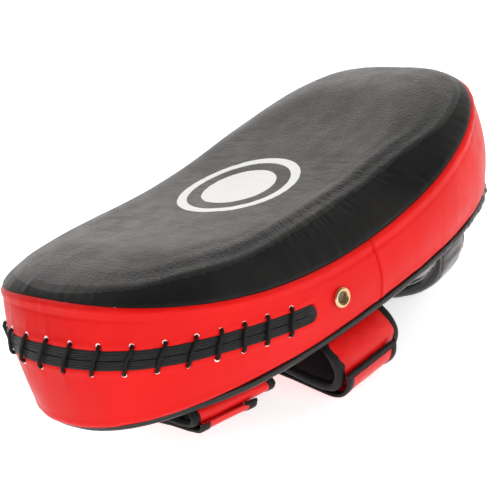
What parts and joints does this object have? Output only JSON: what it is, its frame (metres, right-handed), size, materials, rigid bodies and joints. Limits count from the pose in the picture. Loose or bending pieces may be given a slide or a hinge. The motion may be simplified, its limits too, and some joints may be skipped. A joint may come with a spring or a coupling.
{
  "type": "curved kick pad",
  "caption": "Curved padded strike shield for the forearm: dished face with a round target, laced filling closure, forearm straps and an arched hand grip on the flat back.",
  "frame": {"origin": "middle of the overall box in X and Y, at the underside of the hand grip and forearm strap, the lowest level of the pad", "axes": "+X along the pad from the laced end to the hand grip end, +Y across it, +Z out through the striking face"},
  "size_m": [0.4365, 0.2435, 0.1582],
  "materials": {
    "back_edge_binding": "gloss",
    "back_panel": "satin",
    "backing_foam": "matte",
    "closure_lip_lower": "matte",
    "closure_lip_upper": "matte",
    "closure_underflap": "matte",
    "core_foam": "matte",
    "elbow_band_binding": "matte",
    "elbow_band_foam": "matte",
    "elbow_band_lining": "matte",
    "elbow_band_shell": "gloss",
    "elbow_far_anchor": "matte",
    "elbow_hook_patch": "matte",
    "elbow_loop_patch": "matte",
    "elbow_near_anchor": "matte",
    "elbow_tongue": "gloss",
    "elbow_tongue_binding": "matte",
    "face_panel": "satin",
    "grip_anchor_far": "matte",
    "grip_anchor_near": "matte",
    "grip_cover": "gloss",
    "grip_foam": "matte",
    "grip_webbing": "matte",
    "impact_foam": "matte",
    "lace": "matte",
    "side_gusset_laced": "gloss",
    "side_gusset_plain": "gloss",
    "target_disc": "satin",
    "target_ring": "satin",
    "vent_mesh": "satin",
    "vent_ring": "polished",
    "vent_washer": "satin",
    "wrist_band_binding": "matte",
    "wrist_band_foam": "matte",
    "wrist_band_lining": "matte",
    "wrist_band_shell": "gloss",
    "wrist_far_anchor": "matte",
    "wrist_hook_patch": "matte",
    "wrist_loop_patch": "matte",
    "wrist_near_anchor": "matte",
    "wrist_tongue": "gloss",
    "wrist_tongue_binding": "matte"
  },
  "bodies": {
    "pad": {"back_edge_binding": "back_edge_binding", "back_panel": "back_panel", "backing_foam": "backing_foam", "closure_lip_lower": "closure_lip_lower", "closure_lip_upper": "closure_lip_upper", "closure_underflap": "closure_underflap", "core_foam": "core_foam", "elbow_far_anchor": "elbow_far_anchor", "elbow_near_anchor": "elbow_near_anchor", "face_panel": "face_panel", "grip_anchor_far": "grip_anchor_far", "grip_anchor_near": "grip_anchor_near", "grip_cover": "grip_cover", "grip_foam": "grip_foam", "grip_webbing": "grip_webbing", "impact_foam": "impact_foam", "lace": "lace", "side_gusset_laced": "side_gusset_laced", "side_gusset_plain": "side_gusset_plain", "target_disc": "target_disc", "target_ring": "target_ring", "vent_mesh": "vent_mesh", "vent_ring": "vent_ring", "vent_washer": "vent_washer", "wrist_far_anchor": "wrist_far_anchor", "wrist_near_anchor": "wrist_near_anchor"},
    "wrist_band": {"wrist_band_binding": "wrist_band_binding", "wrist_band_foam": "wrist_band_foam", "wrist_band_lining": "wrist_band_lining", "wrist_band_shell": "wrist_band_shell", "wrist_loop_patch": "wrist_loop_patch"},
    "wrist_tongue": {"wrist_hook_patch": "wrist_hook_patch", "wrist_tongue": "wrist_tongue", "wrist_tongue_binding": "wrist_tongue_binding"},
    "elbow_band": {"elbow_band_binding": "elbow_band_binding", "elbow_band_foam": "elbow_band_foam", "elbow_band_lining": "elbow_band_lining", "elbow_band_shell": "elbow_band_shell", "elbow_loop_patch": "elbow_loop_patch"},
    "elbow_tongue": {"elbow_hook_patch": "elbow_hook_patch", "elbow_tongue": "elbow_tongue", "elbow_tongue_binding": "elbow_tongue_binding"}
  },
  "joints": [
    {"name": "wrist_tongue_open", "type": "hinge", "parent": "pad", "child": "wrist_tongue", "pos_m": [-0.0265, 0.0875, 0.05], "axis": [1, 0, 0], "range_deg": [0, 100]},
    {"name": "wrist_band_open", "type": "hinge", "parent": "pad", "child": "wrist_band", "pos_m": [-0.0265, -0.0965, 0.05], "axis": [-1, 0, 0], "range_deg": [0, 30]},
    {"name": "elbow_tongue_open", "type": "hinge", "parent": "pad", "child": "elbow_tongue", "pos_m": [-0.1356, 0.07109, 0.05], "axis": [0.9484, 0.3172, 0], "range_deg": [0, 100]},
    {"name": "elbow_band_open", "type": "hinge", "parent": "pad", "child": "elbow_band", "pos_m": [-0.1356, -0.06936, 0.05], "axis": [-0.9506, 0.3103, 0], "range_deg": [0, 12]}
  ],
  "couplings": [
    {"joint": "wrist_band_open", "follows": "wrist_tongue_open", "ratio": 0.3},
    {"joint": "elbow_band_open", "follows": "elbow_tongue_open", "ratio": 0.12}
  ]
}
